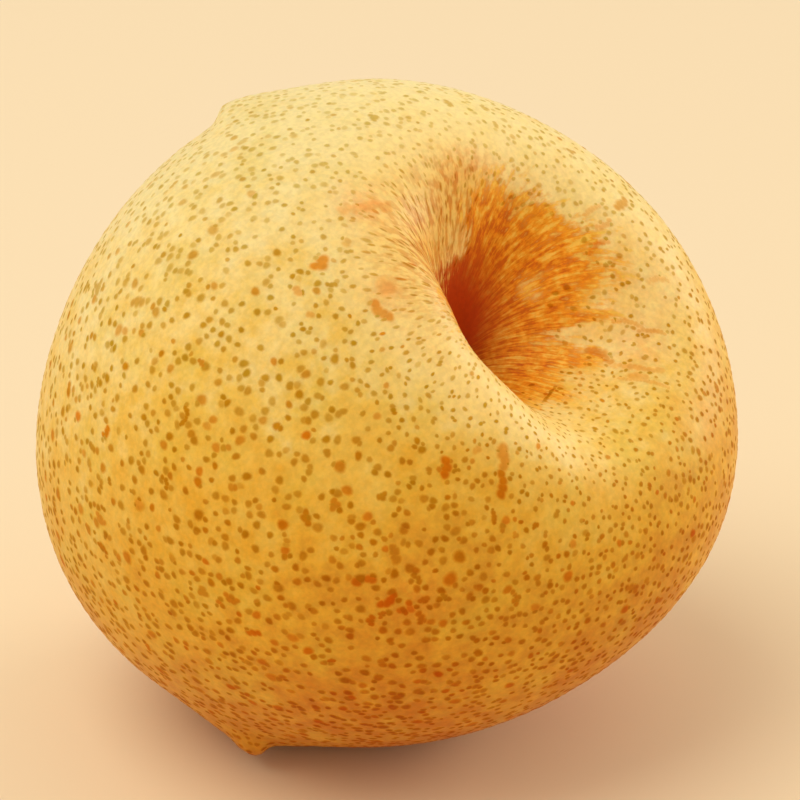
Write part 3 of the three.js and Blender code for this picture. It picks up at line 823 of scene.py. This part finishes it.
# %% Stamens
STAMENS, STAMEN_ROWS, STAMEN_COLUMNS = 18, 12, 8
STAMEN_LENGTH, STAMEN_RADIUS, STAMEN_RING, STAMEN_SUNK = 1.7, 0.07, 0.75, 0.15
STAMEN_TURN, STAMEN_LEANS, STAMEN_LENGTHS = 0.2, (0.25, 0.8), (0.6, 1.1)  # how unlike they are
STAMEN_HEAD, STAMEN_ENDS = 1.2, 12  # the head's extra width, and the first and last 1 / 12 close
MAP_CELLS, CELL_FILL = 5, 0.18  # cells along the map's side, and how much of the map one fills
u, v, one_faces, one_uv = closed_grid(STAMEN_ROWS, STAMEN_COLUMNS)
turn = 2 * np.pi * np.arange(STAMENS)[:, None] / STAMENS
turn = turn + rng.uniform(-STAMEN_TURN, STAMEN_TURN, (STAMENS, 1))
lean = rng.uniform(*STAMEN_LEANS, (STAMENS, 1))
length = STAMEN_LENGTH * rng.uniform(*STAMEN_LENGTHS, (STAMENS, 1))
thick = STAMEN_RADIUS * np.sin(np.pi * np.clip(u * 0.95 + 0.05, 0, 1)) ** 0.3
thick = thick * (1 + STAMEN_HEAD * smooth_ramp(6 * u - 5))  # the head is the last sixth
thick = thick * np.clip(u * STAMEN_ENDS, 0, 1) * np.clip((1 - u) * STAMEN_ENDS, 0, 1)
out = STAMEN_RING + length * lean * u**1.5
across, outwards = thick * np.cos(v), thick * np.sin(v)
stamen_x = PIT_CENTRE[0] + out * np.cos(turn) - across * np.sin(turn) + outwards * np.cos(turn)
stamen_y = PIT_CENTRE[1] + out * np.sin(turn) + across * np.cos(turn) + outwards * np.sin(turn)
stamen_z = floor_height(*PIT_CENTRE) + CROWN_THICKNESS - STAMEN_SUNK + length * u
points = np.stack([stamen_x, stamen_y, stamen_z], axis=-1).reshape(-1, 3)
first = len(u) * np.arange(STAMENS)[:, None, None]  # the first point of each stamen
faces = [(kind[None] + first).reshape(-1, kind.shape[1]) for kind in one_faces]
number = np.arange(STAMENS)
map_cell = np.stack([number % MAP_CELLS, number // MAP_CELLS], 1)[:, None] / MAP_CELLS
kinds_uv = np.split(one_uv, [one_faces[0].size])
uv = [(map_cell + part[None] * CELL_FILL).reshape(-1, 2) for part in kinds_uv]
stamens = mesh_object("calyx_stamens", in_room(points), faces, np.concatenate(uv))
for piece in (crown, stamens):
    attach(piece, "root")
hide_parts("calyx")

# %% [markdown]
# ## Helpers for materials
#
# A material is a small graph. These helpers add a node, set its inputs and join it to others in one
# line, so that a cell reads like a recipe. Colours are written as they look on a screen, and
# `paint` turns them into the linear light that the renderer works with.


# %% Node helpers
def paint(red, green, blue):
    """A screen colour of 0 to 255 as linear light."""
    c = np.array([red, green, blue]) / 255
    linear = np.where(c <= 0.04045, c / 12.92, ((c + 0.055) / 1.055) ** 2.4)
    return (*[float(x) for x in linear], 1.0)


def fill(tree, node, inputs):
    """Joins each input of a node to a socket, or sets it to a plain value."""
    for key, value in inputs.items():
        if isinstance(value, bpy.types.NodeSocket):
            tree.links.new(value, node.inputs[key])
        else:
            node.inputs[key].default_value = value


def add(tree, kind, inputs=None, output=0, **settings):
    """Adds a node with these inputs and settings, and returns one of its outputs."""
    node = tree.nodes.new("ShaderNode" + kind)
    for key, value in settings.items():
        setattr(node, key, value)
    fill(tree, node, inputs or {})
    return node.outputs[output]


def calc(tree, operation, a, b=0.0, c=0.0):
    """One step of arithmetic. MULTIPLY_ADD is a * b + c."""
    return add(tree, "Math", {0: a, 1: b, 2: c}, operation=operation)


def waver(tree, value, amount, base):
    """base + amount * (value - 0.5), for a noise that moves the base up and down."""
    return calc(tree, "MULTIPLY_ADD", calc(tree, "SUBTRACT", value, 0.5), amount, base)


def drawn_along(tree, vector, scale):
    """A vector with each part multiplied by its own number, which draws a noise out into streaks."""
    return add(tree, "VectorMath", {0: vector, 1: scale}, operation="MULTIPLY")


def parts(tree, vector):
    """The three numbers of a vector."""
    return add(tree, "SeparateXYZ", {0: vector}).node.outputs


def noise(tree, vector, scale, detail=3.0, roughness=0.55):
    """Soft random values about a half. The scale is in lumps per metre on Object coordinates."""
    inputs = {"Vector": vector, "Scale": scale, "Detail": detail, "Roughness": roughness}
    return add(tree, "TexNoise", inputs)


def between(tree, value, low, high, to_low=0.0, to_high=1.0):
    """A smooth step: to_low below low, to_high above high."""
    inputs = {"Value": value, "From Min": low, "From Max": high, "To Min": to_low, "To Max": to_high}
    return add(tree, "MapRange", inputs, interpolation_type="SMOOTHSTEP")


def mix(tree, factor, a, b, blend="MIX"):
    """Colour a where the factor is nought, colour b laid over it where it is one."""
    return add(tree, "Mix", {0: factor, 6: a, 7: b}, 2, data_type="RGBA", blend_type=blend)


def stops(tree, value, colours):
    """A colour ramp with (place, colour) stops."""
    node = tree.nodes.new("ShaderNodeValToRGB")
    tree.links.new(value, node.inputs[0])
    ramp = node.color_ramp
    while len(ramp.elements) < len(colours):
        ramp.elements.new(0.5)
    for element, (place, colour) in zip(ramp.elements, colours):
        element.position, element.color = place, colour
    return node.outputs[0]


def stored(tree, name, output):
    """A value stored at the points: output is Fac for a number and Vector for a triple."""
    return add(tree, "Attribute", output=output, attribute_name=name, attribute_type="GEOMETRY")


def new_group(name, inputs, outputs):
    """A node group with named sockets: (name, kind) pairs, kind Float or Color."""
    group = bpy.data.node_groups.new(name, "ShaderNodeTree")
    for names, side in ((inputs, "INPUT"), (outputs, "OUTPUT")):
        for socket, kind in names:
            group.interface.new_socket(socket, in_out=side, socket_type="NodeSocket" + kind)
    return group, group.nodes.new("NodeGroupInput"), group.nodes.new("NodeGroupOutput")


def new_material(name):
    """A material, its tree and its shader."""
    material = bpy.data.materials.new(name)
    material.use_nodes = True
    tree = material.node_tree
    tree.nodes.clear()
    surface = tree.nodes.new("ShaderNodeBsdfPrincipled")
    output = tree.nodes.new("ShaderNodeOutputMaterial")
    tree.links.new(surface.outputs[0], output.inputs[0])
    print("material:", name)
    return material, tree, surface


# %% [markdown]
# ## Skin
#
# Under the freckles the skin runs from pale yellow on the side that faces up to deep gold and amber
# underneath. This is partly ripeness and partly painted light: the paleness stands for light and sheen
# from above, and the amber for shade and warm bounce below. There are slow clouds, a greenish cast here
# and there and a very fine grain. A painted cream highlight lies on the crest of the basin's rim.
# Russet is a corky layer that covers the basin's wall in streaks, with golden skin in its gaps. Both
# the skin and the lenticels need these colours, because a lenticel fades into the skin round it, so
# they are one node group that reads the stored pattern.

# %% Colours and noises of the skin
# the palest colours stand partly for painted light on the top, and the amber partly for painted shade and
# warm bounce underneath
PALE_LIT, LEMON, GOLD = paint(245, 218, 145), paint(243, 206, 119), paint(237, 189, 80)
DEEP, AMBER_SHADED, OLIVE_CAST = paint(232, 170, 50), paint(202, 118, 18), paint(223, 188, 64)
# the darkest russet is painted shade at the bottom of the basin
RUSSET_SHADED, RUSSET_DARK, RUSSET_MID = paint(184, 60, 0), paint(207, 101, 5), paint(229, 134, 12)
RUSSET_LIGHT, RUSSET_THIN = paint(238, 157, 34), paint(244, 188, 72)
# the cream is a painted highlight on the crest of the basin's rim
WISP_BROWN, WALL_GOLD, CREAM_HIGHLIGHT = paint(211, 131, 26), paint(236, 182, 62), paint(255, 213, 128)
BLUSH_FILTER = (0.99, 0.79, 0.73, 1.0)
FLESH_STOPS = [(0.06, PALE_LIT), (0.26, LEMON), (0.42, GOLD), (0.64, DEEP), (0.98, AMBER_SHADED)]
RUSSET_STOPS = [(0.26, RUSSET_DARK), (0.44, RUSSET_MID), (0.60, RUSSET_LIGHT), (0.80, RUSSET_THIN)]
CLOUD_SCALE, CAST_SCALE, MOTTLE_SCALE, PATCH_SCALE, GRAIN_SCALE = 55.0, 130.0, 330.0, 620.0, 1500.0
# how quickly each kind of streak changes round the basin (twice, for cosine and sine) and for each mm
FINE_STREAKS, THIN_STREAKS, BROAD_STREAKS = (24.0, 24.0, 0.45), (22.0, 22.0, 0.5), (7.0, 7.0, 0.3)
CLOUD_WEIGHT, MOTTLE_WEIGHT = 0.5, 0.62  # how far each moves the ripeness
# the most that each colour covers: greenish clouds, painted cream highlight, gold in the fan and on the
# wall, wisps, blush
CAST_COVER, CREAM_HIGHLIGHT_COVER, GOLD_COVER, WALL_COVER, WISP_COVER, BLUSH_COVER = 0.26, 0.8, 0.85, 0.7, 0.85, 0.6

skin_group, _, skin_out = new_group(
    "skin colours", [], [("Color", "Color"), ("Roughness", "Float"), ("Height", "Float")]
)
tree = skin_group
place = add(tree, "TexCoord", output="Object")
clouds = noise(tree, place, CLOUD_SCALE)
mottle = noise(tree, place, MOTTLE_SCALE, 4.0, 0.6)
patches = noise(tree, place, PATCH_SCALE, 3.0, 0.6)
grain = noise(tree, place, GRAIN_SCALE, 2.0)

# %% Flesh under the freckles, pale on top and amber below, partly painted light and shade: clouds and mottle move the ripeness, and some clouds are greenish
ripe_and_lit = waver(tree, clouds, CLOUD_WEIGHT, stored(tree, "ripeness_and_light", "Fac"))
ripe_and_lit = waver(tree, mottle, MOTTLE_WEIGHT, ripe_and_lit)
cast = between(tree, noise(tree, place, CAST_SCALE), 0.50, 0.70, 0.0, CAST_COVER)
flesh = mix(tree, cast, stops(tree, ripe_and_lit, FLESH_STOPS), OLIVE_CAST)

# %% The russet fan: its ragged edge, its streaks and painted shade at its bottom
around, fan = stored(tree, "around", "Vector"), stored(tree, "fan", "Fac")
distance = parts(tree, around)[2]
toward_shade = add(tree, "VectorMath", {0: around, 1: (*SHADED_SIDE, 0.0)}, 1, operation="DOT_PRODUCT")
fine_streak = noise(tree, drawn_along(tree, around, FINE_STREAKS), 1.0, 3.0, 0.65)
broad_streak = noise(tree, drawn_along(tree, around, BROAD_STREAKS), 1.0, 2.0, 0.5)
edge = fan
for value, millimetres in ((fine_streak, 14.0), (broad_streak, 8.0), (patches, 8.0)):
    edge = waver(tree, value, millimetres, edge)
cover = between(tree, edge, -1.8, 2.0)
shade = calc(tree, "MULTIPLY_ADD", patches, 1.1, -0.99)
# the fan is also painted a little darker towards the shaded side
for value, weight in ((fine_streak, 1.65), (distance, 0.010), (toward_shade, -0.08)):
    shade = calc(tree, "MULTIPLY_ADD", value, weight, shade)
# painted shade: towards the bottom of the basin the russet turns dark red, most on the shaded side
shade_depth = calc(tree, "MULTIPLY_ADD", toward_shade, -5.0, distance)
russet = mix(tree, between(tree, shade_depth, 9.5, 2.0), stops(tree, shade, RUSSET_STOPS), RUSSET_SHADED)

# %% A painted cream highlight on the rim, gold in the fan's gaps, brown wisps on the wall and a pink blush
wispy, blushing, creamy_highlight = parts(tree, stored(tree, "tints_and_highlight", "Vector"))
# painted highlight: cream laid over the crest of the basin's rim
flesh = mix(tree, calc(tree, "MULTIPLY", creamy_highlight, CREAM_HIGHLIGHT_COVER), flesh, CREAM_HIGHLIGHT)
gold = between(tree, fan, -1.5, 2.0, 0.0, GOLD_COVER)
gold = calc(tree, "MAXIMUM", calc(tree, "MULTIPLY", wispy, WALL_COVER), gold)
flesh = mix(tree, gold, flesh, WALL_GOLD)
thin_streak = noise(tree, drawn_along(tree, around, THIN_STREAKS), 1.0, 2.0, 0.6)
wisp = calc(tree, "MULTIPLY", between(tree, thin_streak, 0.43, 0.60), wispy)
flesh = mix(tree, calc(tree, "MULTIPLY", wisp, WISP_COVER), flesh, WISP_BROWN)
fan_edge = calc(tree, "MULTIPLY", between(tree, fan, -14.0, -1.0), between(tree, fan, 0.5, -1.5))
fan_edge = calc(tree, "MULTIPLY", fan_edge, between(tree, clouds, 0.40, 0.65, 0.0, BLUSH_COVER))
blush = calc(tree, "MAXIMUM", fan_edge, blushing)
blush = calc(tree, "MULTIPLY", blush, between(tree, patches, 0.25, 0.60))
flesh = mix(tree, blush, flesh, BLUSH_FILTER, "MULTIPLY")

# %% Colour, gloss and relief that the group puts out
tone = between(tree, grain, 0.3, 0.7, 0.93, 1.05)
grey = add(tree, "CombineColor", {0: tone, 1: tone, 2: tone})
colour = mix(tree, 1.0, mix(tree, cover, flesh, russet), grey, "MULTIPLY")
gloss = calc(tree, "MULTIPLY_ADD", cover, 0.16, calc(tree, "MULTIPLY_ADD", mottle, 0.14, 0.34))
corky = calc(tree, "MULTIPLY", between(tree, fan, -2.0, 4.0), fine_streak)
height = calc(tree, "MULTIPLY_ADD", corky, 1.6, grain)
fill(tree, skin_out, {"Color": colour, "Roughness": gloss, "Height": height})
print("the skin's group has", len(tree.nodes), "nodes")


# %% Skin material
def place_group(tree, group, inputs=None):
    """A group's node with these inputs. Returns its outputs, by name."""
    node = tree.nodes.new("ShaderNodeGroup")
    node.node_tree = group
    fill(tree, node, inputs or {})
    return node.outputs


skin, tree, surface = new_material("pear skin")
look = place_group(tree, skin_group)
bump = add(tree, "Bump", {"Strength": 0.5, "Distance": 0.03 * MM, "Height": look["Height"]})
fill(tree, surface, {"Base Color": look["Color"], "Roughness": look["Roughness"], "Normal": bump})
fill(tree, surface, {"Specular IOR Level": 0.12, "Subsurface Weight": 0.2})
fill(tree, surface, {"Subsurface Radius": (1.0, 0.4, 0.12), "Subsurface Scale": 3 * MM})
fruit.data.materials.append(skin)

# %% [markdown]
# ## Lenticel cork
#
# Cork tints the light that the skin sends back, so a pore's colour is the skin's own colour seen
# through a brown filter: olive brown in small pores, orange in large ones and in marks. Towards
# its edge a pore fades into the skin. The stored `share` says how far a point is from the middle,
# and `tone` holds each pore's own tint and strength, and a random number to spare.

# %% Lenticel material
OLIVE_FILTER, BROWN_FILTER = (0.54, 0.47, 0.08, 1.0), (0.60, 0.41, 0.04, 1.0)
ORANGE_FILTER = (0.80, 0.36, 0.03, 1.0)
cork, tree, surface = new_material("lenticel cork")
look = place_group(tree, skin_group)
tint_value, strength_value, _ = parts(tree, stored(tree, "tone", "Vector"))
filters = stops(tree, tint_value, [(0.0, OLIVE_FILTER), (0.4, BROWN_FILTER), (1.0, ORANGE_FILTER)])
spot = mix(tree, 1.0, look["Color"], filters, "MULTIPLY")
visible = calc(tree, "MULTIPLY", between(tree, stored(tree, "share", "Fac"), 1.0, 0.40), strength_value)
rough = calc(tree, "MULTIPLY_ADD", visible, 0.16, look["Roughness"])
fill(tree, surface, {"Base Color": mix(tree, visible, look["Color"], spot), "Roughness": rough})
fill(tree, surface, {"Specular IOR Level": 0.04})
for piece in (*dots.values(), marks):
    piece.data.materials.append(cork)

# %% [markdown]
# ## Wood and dried sepals
#
# Both are dead plant tissue: rough, with lengthwise fibres. The stem is mid brown with a paler cut
# face; the sepals are nearly black brown with paler edges. One recipe serves both with its own
# colours, so it is a group with inputs.

# %% Fibre group and its two materials
fibre_group, fibre_in, fibre_out = new_group(
    "dry fibres",
    [("Dark", "Color"), ("Light", "Color"), ("Tip", "Color"), ("Tip Start", "Float")],
    [("Color", "Color"), ("Height", "Float")],
)
tree, given = fibre_group, fibre_in.outputs
along = stored(tree, "along", "Vector")
fibre = noise(tree, drawn_along(tree, along, (5.0, 5.0, 2.2)), 1.6, 5.0, 0.7)
blend = waver(tree, noise(tree, add(tree, "TexCoord", output="Object"), 900.0), 0.7, fibre)
wood = mix(tree, between(tree, blend, 0.35, 0.68), given["Dark"], given["Light"])
past_tip = calc(tree, "SUBTRACT", parts(tree, along)[2], given["Tip Start"])
wood = mix(tree, between(tree, past_tip, 0.0, 0.05), wood, given["Tip"])
fill(tree, fibre_out, {"Color": wood, "Height": blend})


def fibre_material(name, dark, light, tip, tip_start, roughness):
    """Dry fibres from dark to light, with a tip of its own colour from tip_start of the way on."""
    material, tree, surface = new_material(name)
    colours = {"Dark": dark, "Light": light, "Tip": tip}
    look = place_group(tree, fibre_group, {**colours, "Tip Start": tip_start})
    bump = add(tree, "Bump", {"Strength": 0.8, "Distance": 0.08 * MM, "Height": look["Height"]})
    fill(tree, surface, {"Base Color": look["Color"], "Normal": bump, "Roughness": roughness})
    return material


BARK_DARK, BARK_LIGHT, FRESH_CUT = paint(62, 40, 22), paint(132, 94, 56), paint(176, 142, 96)
SEPAL_DARK, SEPAL_LIGHT, SEPAL_TIP = paint(34, 20, 12), paint(92, 58, 32), paint(120, 82, 48)
STAMEN_DARK, STAMEN_LIGHT = paint(52, 32, 18), paint(120, 86, 50)
bark = fibre_material("stem bark", BARK_DARK, BARK_LIGHT, FRESH_CUT, tip_start=0.985, roughness=0.8)
stem.data.materials.append(bark)
dried = fibre_material("dried sepals", SEPAL_DARK, SEPAL_LIGHT, SEPAL_TIP, tip_start=0.93, roughness=0.85)
crown.data.materials.append(dried)
withered, tree, surface = new_material("dried stamens")
blotches = noise(tree, add(tree, "TexCoord", output="Object"), 700.0)
fill(tree, surface, {"Base Color": mix(tree, blotches, STAMEN_DARK, STAMEN_LIGHT), "Roughness": 0.85})
stamens.data.materials.append(withered)

# %% [markdown]
# ## Floor and light
#
# The floor is plain and pale, a little warm, so that it lights the fruit's underside as a wooden
# board would. A broad soft light stands in front to the upper left, like a window. A second one is
# low and far to the right, beyond the floor's edge and a little behind, so that it brightens the
# right side without a pool of light on the floor. The room itself is bright. The far wall of the
# basin faces the window and glows, while its steep near lip keeps the bottom in shadow, and the
# russet there is painted darker as shade as well.

# %% Floor
FLOOR_HALF = 3.0  # metres
floor_corners = [(x * FLOOR_HALF, y * FLOOR_HALF, 0) for x, y in ((-1, -1), (1, -1), (1, 1), (-1, 1))]
floor_mesh = bpy.data.meshes.new("floor")
floor_mesh.from_pydata(floor_corners, [], [(0, 1, 2, 3)])
floor = in_scene("floor", floor_mesh)
floor_paint, tree, surface = new_material("pale floor")
fill(tree, surface, {"Base Color": paint(242, 216, 173), "Roughness": 0.7})
floor.data.materials.append(floor_paint)

# %% Lights
scene = bpy.context.scene
scene.view_settings.view_transform = "Standard"
world = bpy.data.worlds.new("soft room")
world.use_nodes = True
air = world.node_tree.nodes["Background"]
fill(world.node_tree, air, {"Color": (1.0, 0.97, 0.92, 1), "Strength": 0.62})
scene.world = world


def soft_light(name, right, up, back, size, power, colour):
    """A square area light, placed in metres along the camera's own directions from the fruit."""
    lamp = bpy.data.lights.new(name, "AREA")
    lamp.size, lamp.energy, lamp.color = size, power, colour
    light = in_scene(name, lamp)
    light.location = FRUIT_MIDDLE + camera_right * right + camera_up * up + camera_back * back
    light.rotation_mode = "QUATERNION"
    light.rotation_quaternion = (light.location - FRUIT_MIDDLE).to_track_quat("Z", "Y")
    print(name, "stands at", tuple(round(v, 2) for v in light.location))


soft_light("window", right=-0.88, up=1.54, back=1.10, size=1.6, power=23.5, colour=(1.0, 0.98, 0.95))
soft_light("side fill", right=2.88, up=1.44, back=-1.17, size=1.8, power=54.0, colour=(1.0, 0.97, 0.93))
